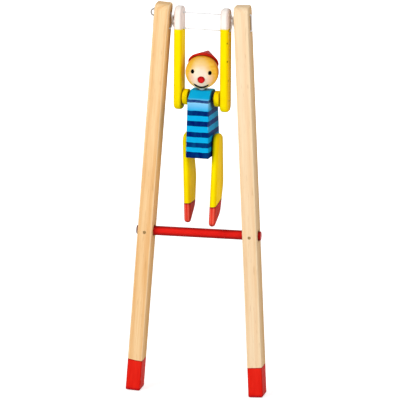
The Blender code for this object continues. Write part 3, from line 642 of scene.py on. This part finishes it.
def new_piece(name, builder, material):
    """A smoothly shaded piece made from a bmesh."""
    bmesh.ops.recalc_face_normals(builder, faces=builder.faces)
    mesh = bpy.data.meshes.new(name)
    builder.to_mesh(mesh)
    builder.free()
    mesh.shade_smooth()
    mesh.set_sharp_from_angle(angle=SHARP_ANGLE)
    mesh.materials.append(material)
    piece = bpy.data.objects.new(name, mesh)
    bpy.context.scene.collection.objects.link(piece)
    return piece


def add_rings(builder, rings):
    """A closed skin over a row of rings."""
    rows = [[builder.verts.new(point) for point in ring] for ring in rings]
    sides = len(rows[0])
    for first, second in zip(rows, rows[1:]):
        for side in range(sides):
            after = (side + 1) % sides
            builder.faces.new((first[side], first[after], second[after], second[side]))
    builder.faces.new(rows[0][::-1])
    builder.faces.new(rows[-1])


def even_route(points, step):
    """Points a step apart along a line of points."""
    points = [Vector(point) for point in points]
    lengths = [0.0]
    for first, second in zip(points, points[1:]):
        lengths.append(lengths[-1] + (second - first).length)
    count = max(2, round(lengths[-1] / step))
    route = []
    index = 0
    for number in range(count + 1):
        wanted = lengths[-1] * number / count
        while index < len(points) - 2 and lengths[index + 1] < wanted:
            index += 1
        share = (wanted - lengths[index]) / (lengths[index + 1] - lengths[index])
        route.append(points[index].lerp(points[index + 1], share))
    return route


def smooth_route(points, steps=ROUTE_STEPS):
    """Points along a smooth curve that passes through every given point."""
    points = [Vector(point) for point in points]
    padded = [2 * points[0] - points[1]] + points + [2 * points[-1] - points[-2]]
    route = []
    for index in range(1, len(padded) - 2):
        before, start, end, after = padded[index - 1:index + 3]
        for step in range(steps):
            t = step / steps
            even = 2 * start + (2 * before - 5 * start + 4 * end - after) * t * t
            odd = (end - before) * t + (3 * start - before - 3 * end + after) * t ** 3
            route.append((even + odd) / 2)
    return route + [points[-1]]


def add_cord(builder, points):
    """Three strands twisted together along a line of points, as one skin."""
    route = even_route(points, STRING_STEP)
    normal = Vector((0, 1, 0))
    rings = []
    travelled = 0.0
    for index, point in enumerate(route):
        ahead = (route[min(index + 1, len(route) - 1)] - route[max(index - 1, 0)]).normalized()
        normal = (normal - ahead * normal.dot(ahead)).normalized()
        across = ahead.cross(normal)
        if index:
            travelled += (point - route[index - 1]).length
        twist = FULL_TURN * travelled / STRING_PITCH
        ring = []
        for side in range(STRING_SIDES):
            angle = FULL_TURN * side / STRING_SIDES
            groove = STRAND_GROOVE * (1 - abs(math.cos(angle * STRING_STRANDS / 2)))
            radius = STRING_RADIUS * (1 - groove)
            turned = angle + twist
            ring.append(point + (normal * math.cos(turned) + across * math.sin(turned)) * radius)
        rings.append(ring)
    add_rings(builder, rings)


def cord_piece(name, routes, material, node):
    """Cords along one or more routes, in place of a CAD string."""
    builder = bmesh.new()
    for route in routes:
        add_cord(builder, route)
    piece = new_piece(name, builder, material)
    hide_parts(node)
    return piece


def outer_bend(side, height, down):
    """The string's way out of one hole and round on to the outer face, in the upright's frame."""
    bend = [Vector((side * (UPRIGHT_HALF - STRING_TUCK), 0, height))]
    for step in range(9):
        angle = math.pi / 2 * step / 8
        out = UPRIGHT_HALF + STANDOFF * math.sin(angle)
        bend.append(Vector((side * out, 0, height + down * STANDOFF * (1 - math.cos(angle)))))
    return bend


def knot_routes(side):
    """The string tied off on the outer face: a loop at the upper hole, with a half turn round its foot."""
    face = side * UPRIGHT_HALF
    leg = STRING_RADIUS * 0.85
    ear = [(face - side * STRING_TUCK, 0, UPPER_HOLE + leg), (face, 0, UPPER_HOLE + leg)]
    for step in range(13):
        angle = EAR_ANGLE * (1 - step / 6)
        out = EAR_REACH - EAR_HALF_HEIGHT + EAR_HALF_HEIGHT * math.cos(angle)
        ear.append((face + side * out, 0, UPPER_HOLE - EAR_DROP + EAR_HALF_HEIGHT * math.sin(angle)))
    ear += [(face, 0, UPPER_HOLE - leg), (face - side * STRING_TUCK, 0, UPPER_HOLE - leg)]
    collar = []
    for step in range(COLLAR_STEPS + 1):
        share = step / COLLAR_STEPS
        angle = math.pi / 2 - FULL_TURN * COLLAR_TURN * share
        out = STANDOFF + 2 * STRING_RADIUS * COLLAR_TURN * (1 - share) * 0.9
        across = 2 * STRING_RADIUS * math.cos(angle)
        up = (leg + 2 * STRING_RADIUS * 0.95) * math.sin(angle)
        collar.append((face + side * out, across, UPPER_HOLE + up))
    run = smooth_route(collar + [
        (face + side * STANDOFF, 0.1 * MM, UPPER_HOLE - 4.2 * MM),
        (face + side * STANDOFF, 0, LOWER_HOLE + 2.4 * MM),
    ], 2)
    return [smooth_route(ear, 4), run + outer_bend(side, LOWER_HOLE, 1)[::-1]]


def in_place(place, routes):
    """Routes given in a piece's frame, moved into the frame that all pieces share."""
    return [[place @ Vector(point) for point in route] for route in routes]


def build_outer_strings(material, shaded_knot):
    """The string on the outer face of each upright, with the knot on the left, whose cord is darkened as
    painted shade.
    """
    knotted = in_place(LEFT_UPRIGHT, knot_routes(-1))
    left = cord_piece("left_outer_cord", knotted, shaded_knot, "left_string_loop")
    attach(left, "left_upright")
    run = outer_bend(1, UPPER_HOLE, -1) + outer_bend(1, LOWER_HOLE, 1)[::-1]
    plain = in_place(RIGHT_UPRIGHT, [run])
    right = cord_piece("right_outer_cord", plain, material, "right_string_loop")
    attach(right, "right_upright")


def crossing_route(side, rise, upright):
    """One strand from an upright's hole to the hand's hole, split where the two strands cross."""
    start = TRAPEZE_REACH - rise * HOLE_SPACING / 2
    end = rise * HOLE_SPACING / 2
    inner_face = -side * UPRIGHT_HALF
    tuck = side * (UPRIGHT_HALF - STRING_TUCK - STRING_GAP)
    beside = rise * CROSSING_OFFSET
    out_of_upright = [
        (tuck, 0, start),
        ((tuck + inner_face) / 2, 0, start),
        (inner_face, 0, start),
        (inner_face - side * STANDOFF, beside / 2, start + rise * STANDOFF),
    ]
    into_hand = [
        (side * (HAND_FACE + STANDOFF), beside / 2, end - rise * STANDOFF),
        (side * HAND_FACE, 0, end),
        (side * (HAND_MIDDLE + STRING_GAP / 2), 0, end),
    ]
    first = [upright @ Vector(point) for point in out_of_upright]
    last = [TRAPEZE @ Vector(point) for point in into_hand]
    middle = (first[-1] + last[0]) / 2 + Vector((0, beside / 2, 0))
    route = smooth_route(first + [middle] + last)
    split = ROUTE_STEPS * len(first)
    return route[:split + 1], route[split:]


def build_crossing_strings(material):
    """The strands that cross beside each hand. Each half follows what it is tied to."""
    for word, side, upright in (("left", -1, LEFT_UPRIGHT), ("right", 1, RIGHT_UPRIGHT)):
        for path, rise in (("falling", -1), ("rising", 1)):
            node = f"{word}_string_{path}"
            outer_route, inner_route = crossing_route(side, rise, upright)
            outer = cord_piece(f"{word}_{path}_cord_outer", [outer_route], material, node)
            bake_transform(outer)
            inner = cord_piece(f"{word}_{path}_cord_inner", [inner_route], material, node)
            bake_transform(inner)


def build_spans(material):
    """The two stretches of string between the hands."""
    for name, height in (("upper", HOLE_SPACING / 2), ("lower", -HOLE_SPACING / 2)):
        run = [(-HAND_MIDDLE, 0, height), (HAND_MIDDLE, 0, height)]
        span = cord_piece(f"{name}_span_cord", in_place(TRAPEZE, [run]), material, f"{name}_string_span")
        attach(span, "arms")


def ball_rings(centre, radius, segments, rings):
    """Rings of points over a ball, from pole to pole."""
    rows = []
    for ring in range(rings + 1):
        polar = math.pi * (0.02 + 0.96 * ring / rings)
        row = []
        for segment in range(segments):
            angle = FULL_TURN * segment / segments
            level = Vector((math.cos(angle), math.sin(angle), 0)) * math.sin(polar)
            row.append(centre + (level + Vector((0, 0, math.cos(polar)))) * radius)
        rows.append(row)
    return rows


def face_direction(side, rise):
    """The direction from the head's middle to a point of the face, in the head's frame."""
    flat = Vector((math.sin(side) * math.cos(rise), -math.cos(side) * math.cos(rise), math.sin(rise)))
    rolled = Matrix.Rotation(FACE_ROLL, 3, "Y") @ flat
    return Matrix.Rotation(FACE_TURN, 3, "Z") @ rolled


def build_head(lacquer, red, crimson, black):
    """The ball, its cap, nose, eyes and mouth."""
    builder = bmesh.new()
    add_rings(builder, ball_rings(Vector(), HEAD_RADIUS, HEAD_SEGMENTS, rings=40))
    finish_head_piece("head_ball", builder, lacquer, "head")
    builder = bmesh.new()
    add_rings(builder, ball_rings(NOSE_CENTRE, NOSE_RADIUS, segments=36, rings=24))
    finish_head_piece("nose_bead", builder, red, "nose")
    builder = bmesh.new()
    add_rings(builder, cap_rings())
    finish_head_piece("turned_cap", builder, crimson, "cap")
    for name, side in (("left_eye", EYE_MIDDLE - EYE_SIDE), ("right_eye", EYE_MIDDLE + EYE_SIDE)):
        builder = bmesh.new()
        add_eye(builder, face_direction(side, EYE_RISE))
        finish_head_piece(name, builder, black)
    builder = bmesh.new()
    add_mouth(builder)
    finish_head_piece("mouth", builder, black)


def finish_head_piece(name, builder, material, node=None):
    """Puts a piece that was made in the head's frame on the head."""
    bmesh.ops.transform(builder, matrix=HEAD, verts=builder.verts)
    piece = new_piece(name, builder, material)
    if node:
        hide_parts(node)
    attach(piece, "torso")


def cap_rings():
    """The cap as a turned cone with a rounded rim and a leaning tip, hollowed to sit on the ball."""
    slope = math.atan2(CAP_RIM_RADIUS, CAP_TIP - CAP_RIM_TOP)
    seat = HEAD_RADIUS + CAP_GAP
    profile = []
    for step in range(7):
        angle = max(0.03, (math.pi / 2 - slope) * step / 6)
        profile.append((CAP_TIP_ROUND * math.sin(angle), CAP_TIP - CAP_TIP_ROUND * (1 - math.cos(angle))))
    first_radius, first_height = profile[-1]
    for share in (0.2, 0.4, 0.6, 0.8, 0.96):
        radius = first_radius + (CAP_RIM_RADIUS - first_radius) * share
        profile.append((radius, first_height + (CAP_RIM_TOP - first_height) * share))
    rim_row = len(profile)
    profile.append((CAP_RIM_RADIUS, CAP_RIM_TOP - 0.3 * MM))
    profile.append((CAP_RIM_RADIUS, CAP_RIM_OFFSET + 0.25 * MM))
    profile.append((CAP_RIM_RADIUS - 0.25 * MM, CAP_RIM_OFFSET))
    inner = math.acos(CAP_RIM_OFFSET / seat)
    for step in range(9):
        angle = inner * (1 - step / 8) + 0.02
        profile.append((seat * math.sin(angle), seat * math.cos(angle)))
    turn = (HEAD.inverted() @ CAP).to_3x3()
    rows = []
    for number, (radius, height) in enumerate(profile):
        lean = 0.0
        if number < rim_row:
            lean = CAP_TIP_SHIFT * max(0, height - CAP_RIM_TOP) / (CAP_TIP - CAP_RIM_TOP)
        row = []
        for segment in range(HEAD_SEGMENTS):
            angle = FULL_TURN * segment / HEAD_SEGMENTS
            row.append(turn @ Vector((radius * math.cos(angle) + lean, radius * math.sin(angle), height)))
        rows.append(row)
    return rows


def add_eye(builder, centre):
    """An oval drop of paint on the ball."""
    up = (Vector((0, 0, 1)) - centre * centre.z).normalized()
    across = up.cross(centre)
    rings = []
    for share, lift in ((1.0, -0.5), (1.0, 0.4), (0.85, 0.85), (0.5, 1.0), (0.05, 1.05)):
        ring = []
        for step in range(28):
            angle = FULL_TURN * step / 28
            flat = across * (EYE_WIDTH / 2 * math.cos(angle)) + up * (EYE_HEIGHT / 2 * math.sin(angle))
            direction = (centre * HEAD_RADIUS + flat * share).normalized()
            ring.append(direction * (HEAD_RADIUS + lift * PAINT_RELIEF))
        rings.append(ring)
    add_rings(builder, rings)


def mouth_point(share):
    """The direction to a point of the smile, from -1 at its left end to 1 at its right end."""
    rise = MOUTH_LOW + (MOUTH_END - MOUTH_LOW) * share * share
    return face_direction(MOUTH_CENTRE + MOUTH_SIDE * share, rise)


def add_mouth(builder):
    """A smile, as a brushed line of paint that thins towards its ends."""
    rings = []
    steps = 40
    for step in range(steps + 1):
        share = 2 * step / steps - 1
        outward = mouth_point(share)
        beside = outward.cross(mouth_point(share + 0.02) - outward).normalized()
        width = MOUTH_WIDTH + (MOUTH_END_WIDTH - MOUTH_WIDTH) * abs(share)
        half = width / 2 * (1 - abs(share) ** 8) ** 0.5 + 0.04 * MM
        ring = []
        for corner in range(12):
            angle = FULL_TURN * corner / 12
            lift = PAINT_RELIEF * math.sin(angle) * min(1.0, half / (0.2 * MM))
            flat = outward * HEAD_RADIUS + beside * (half * math.cos(angle))
            ring.append(flat.normalized() * (HEAD_RADIUS + lift))
        rings.append(ring)
    add_rings(builder, rings)


def smooth_shading():
    """A node group that welds a CAD node's facets and shades them smoothly, except at sharp edges."""
    group = bpy.data.node_groups.new("smooth_facets", "GeometryNodeTree")
    group.interface.new_socket("Geometry", in_out="INPUT", socket_type="NodeSocketGeometry")
    group.interface.new_socket("Geometry", in_out="OUTPUT", socket_type="NodeSocketGeometry")
    start = group.nodes.new("NodeGroupInput")
    end = group.nodes.new("NodeGroupOutput")
    bare = group.nodes.new("GeometryNodeRemoveAttribute")
    bare.inputs["Name"].default_value = "custom_normal"
    weld = group.nodes.new("GeometryNodeMergeByDistance")
    weld.inputs["Distance"].default_value = 0.002 * MM
    faces = group.nodes.new("GeometryNodeSetShadeSmooth")
    edges = group.nodes.new("GeometryNodeSetShadeSmooth")
    edges.domain = "EDGE"
    bend = group.nodes.new("GeometryNodeInputMeshEdgeAngle")
    gentle = group.nodes.new("FunctionNodeCompare")
    gentle.operation = "LESS_THAN"
    gentle.inputs["B"].default_value = SHARP_ANGLE
    group.links.new(start.outputs[0], bare.inputs["Geometry"])
    group.links.new(bare.outputs["Geometry"], weld.inputs["Geometry"])
    group.links.new(weld.outputs["Geometry"], faces.inputs["Geometry"])
    group.links.new(faces.outputs["Geometry"], edges.inputs["Geometry"])
    group.links.new(bend.outputs["Unsigned Angle"], gentle.inputs["A"])
    group.links.new(gentle.outputs["Result"], edges.inputs["Shade Smooth"])
    group.links.new(edges.outputs["Geometry"], end.inputs[0])
    return group


def dress_nodes(finishes, group):
    """Gives each shown CAD node its finish and smooth shading."""
    for name, material in finishes.items():
        node = NODES[name]
        node.data.materials.clear()
        node.data.materials.append(material)
        shading = node.modifiers.new("smooth_facets", "NODES")
        shading.node_group = group
        weighted = node.modifiers.new("flat_faces", "WEIGHTED_NORMAL")
        weighted.keep_sharp = True


def build_object():
    """All the finishes and pieces of the toy."""
    # The crossbar's red gets painted shade on its top and bottom and at its ends.
    red = plain_paint("red_gloss", CROSSBAR, RED, RED_DEEP, RED_EDGE, RED_SHADE,
                      BAR_SPECULAR, axis_of(CROSSBAR, 2))
    yellow = plain_paint("disc_yellow", TRAPEZE, YELLOW, YELLOW_SIDE, YELLOW_EDGE, YELLOW_SHADE)
    steel = steel_finish()
    left_wood = wood_finish("left_bar_wood", LEFT_UPRIGHT, LEFT_WOOD, LEFT_PITH, LEFT_FOOT_PAINT)
    right_wood = wood_finish("right_bar_wood", RIGHT_UPRIGHT, RIGHT_WOOD, RIGHT_PITH, RIGHT_FOOT_PAINT)
    finishes = {
        "left_upright": left_wood,
        "right_upright": right_wood,
        "neck_peg": plain_paint("neck_white", SHOULDER, NECK_WHITE, NECK_WHITE, NECK_WHITE, NECK_SHADE),
        "crossbar": red,
        "left_arm": arm_finish("left_arm_paint", TRAPEZE, LEFT_HAND_BOTTOM, ()),
        "right_arm": arm_finish("right_arm_paint", TRAPEZE, RIGHT_HAND_BOTTOM, ARM_MARKS_MM),
        "left_leg": leg_finish("left_leg_paint", LEFT_LEG, LEFT_SHOE),
        "right_leg": leg_finish("right_leg_paint", RIGHT_LEG, RIGHT_SHOE),
        "left_shoulder_spacer": yellow,
        "right_shoulder_spacer": yellow,
        "torso": torso_finish(SHOULDER),
        "left_pivot_pin": steel,
        "right_pivot_pin": steel,
        "shoulder_pin": steel,
        "hip_pin": steel,
    }
    dress_nodes(finishes, smooth_shading())
    cheeks = [face_direction(side, CHEEK_RISE) for side in (-CHEEK_SIDE, CHEEK_SIDE)]
    face_axis = face_direction(FACE_PALE_SIDE, FACE_PALE_RISE)
    face_side = Vector((0, 0, 1)).cross(-face_axis).normalized()
    lacquer = head_finish(HEAD, face_axis, face_side, cheeks)
    nose_place = HEAD @ Matrix.Translation(NOSE_CENTRE)
    build_head(lacquer, nose_finish(nose_place, NOSE_AXIS), cap_finish(), black_finish())
    cord = string_finish("white_cord", 0.2, CORD_SOIL)
    # The knot's cord is darkened grey-brown as painted shade.
    build_outer_strings(cord, string_finish("knot_cord_with_shade", 0.9, KNOT_SHADE))
    build_crossing_strings(cord)
    build_spans(cord)


def seen_directly(tree):
    """1 for the camera and for what gloss and glass show of the surroundings, 0 for plain light."""
    path = tree.nodes.new("ShaderNodeLightPath")
    total = path.outputs["Is Camera Ray"]
    for other in ("Is Glossy Ray", "Is Transmission Ray"):
        larger = tree.nodes.new("ShaderNodeMath")
        larger.operation = "MAXIMUM"
        tree.links.new(total, larger.inputs[0])
        tree.links.new(path.outputs[other], larger.inputs[1])
        total = larger.outputs[0]
    return total


def build_floor():
    """A pale floor that shows white and keeps the toy's shadow."""
    builder = bmesh.new()
    bmesh.ops.create_grid(builder, x_segments=1, y_segments=1, size=FLOOR_HALF)
    mesh = bpy.data.meshes.new("floor")
    builder.to_mesh(mesh)
    builder.free()
    floor = bpy.data.objects.new("floor", mesh)
    floor.location.z = -FLOOR_DROP
    bpy.context.scene.collection.objects.link(floor)
    material = bpy.data.materials.new("pale_floor")
    material.use_nodes = True
    tree = material.node_tree
    shader = tree.nodes["Principled BSDF"]
    shader.inputs["Base Color"].default_value = (0.86, 0.86, 0.86, 1.0)
    shader.inputs["Roughness"].default_value = 0.9
    shader.inputs["Specular IOR Level"].default_value = 0.0
    shader.inputs["Emission Color"].default_value = (1, 1, 1, 1)
    place = tree.nodes.new("ShaderNodeTexCoord")
    distance = tree.nodes.new("ShaderNodeVectorMath")
    distance.operation = "LENGTH"
    fade = tree.nodes.new("ShaderNodeMapRange")
    fade.inputs["From Min"].default_value = GLOW_NEAR
    fade.inputs["From Max"].default_value = GLOW_FAR
    fade.inputs["To Min"].default_value = FLOOR_GLOW
    fade.inputs["To Max"].default_value = 1.0
    glow = tree.nodes.new("ShaderNodeMath")
    glow.operation = "MULTIPLY"
    tree.links.new(place.outputs["Object"], distance.inputs[0])
    tree.links.new(distance.outputs["Value"], fade.inputs["Value"])
    tree.links.new(seen_directly(tree), glow.inputs[0])
    tree.links.new(fade.outputs[0], glow.inputs[1])
    tree.links.new(glow.outputs[0], shader.inputs["Emission Strength"])
    mesh.materials.append(material)


def add_lamp(name, place, size, power):
    """A soft square lamp that faces the toy."""
    data = bpy.data.lights.new(name, "AREA")
    data.size = size
    data.energy = power
    lamp = bpy.data.objects.new(name, data)
    lamp.location = place
    lamp.rotation_euler = (LAMP_TARGET - lamp.location).to_track_quat("-Z", "Y").to_euler()
    bpy.context.scene.collection.objects.link(lamp)


def build_light():
    """Plain soft studio light, from the lamps and from all round."""
    for lamp in LAMPS:
        add_lamp(*lamp)
    world = bpy.data.worlds.new("studio")
    bpy.context.scene.world = world
    world.use_nodes = True
    tree = world.node_tree
    background = tree.nodes["Background"]
    background.inputs["Color"].default_value = (1, 1, 1, 1)
    strength = tree.nodes.new("ShaderNodeMix")
    strength.inputs[2].default_value = AMBIENT
    strength.inputs[3].default_value = 1.0
    tree.links.new(seen_directly(tree), strength.inputs[0])
    tree.links.new(strength.outputs[0], background.inputs["Strength"])


def build_camera():
    """The photograph's view: right of the front, a little above and rolled a little."""
    level_right = Vector((math.cos(CAMERA_TURN), math.sin(CAMERA_TURN), 0))
    back = Vector((math.sin(CAMERA_TURN) * math.cos(CAMERA_RISE),
                   -math.cos(CAMERA_TURN) * math.cos(CAMERA_RISE), math.sin(CAMERA_RISE)))
    level_up = back.cross(level_right)
    right = math.cos(CAMERA_ROLL) * level_right + math.sin(CAMERA_ROLL) * level_up
    up = math.cos(CAMERA_ROLL) * level_up - math.sin(CAMERA_ROLL) * level_right
    across = (IMAGE_SIZE / 2 - CROSSBAR_PIXEL[0]) / PIXELS_PER_METRE
    above = (CROSSBAR_PIXEL[1] - IMAGE_SIZE / 2) / PIXELS_PER_METRE
    centre = CROSSBAR_CENTRE + right * across + up * above
    data = bpy.data.cameras.new("photo_view")
    data.sensor_width = SENSOR_WIDTH
    data.lens = SENSOR_WIDTH * CAMERA_DISTANCE * PIXELS_PER_METRE / IMAGE_SIZE
    data.clip_end = 20.0
    camera = bpy.data.objects.new("photo_view", data)
    turn = Matrix((right, up, back)).transposed().to_4x4()
    camera.matrix_world = Matrix.Translation(centre + back * CAMERA_DISTANCE) @ turn
    bpy.context.scene.collection.objects.link(camera)
    bpy.context.scene.camera = camera


build_camera()
build_object()
build_floor()
build_light()
bpy.context.scene.view_settings.view_transform = "Standard"
